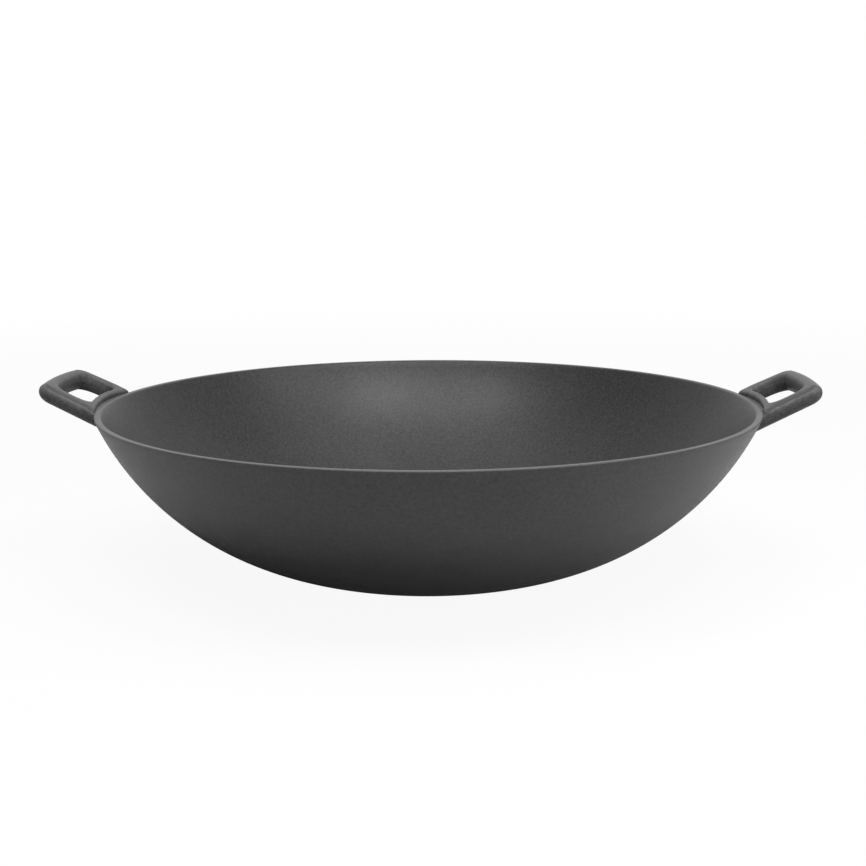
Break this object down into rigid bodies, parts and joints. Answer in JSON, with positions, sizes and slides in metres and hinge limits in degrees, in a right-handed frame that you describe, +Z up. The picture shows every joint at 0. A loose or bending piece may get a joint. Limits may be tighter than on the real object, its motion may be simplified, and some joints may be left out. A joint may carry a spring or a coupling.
{
  "type": "cast iron wok",
  "caption": "Round-bottomed cast iron wok with a flat foot, a flat-topped rim and a raised loop handle at each side.",
  "frame": {"origin": "centre of the foot's flat face, on the surface the wok stands on", "axes": "+Z up out of the bowl, +X along the line through both handles towards the right handle, +Y to the back of the wok as the picture shows it"},
  "size_m": [0.4196, 0.36, 0.1057],
  "materials": {
    "iron": "matt, finely grained seasoned casting"
  },
  "bodies": {
    "root": {"bowl": "iron", "left_handle": "iron", "right_handle": "iron"}
  },
  "joints": []
}
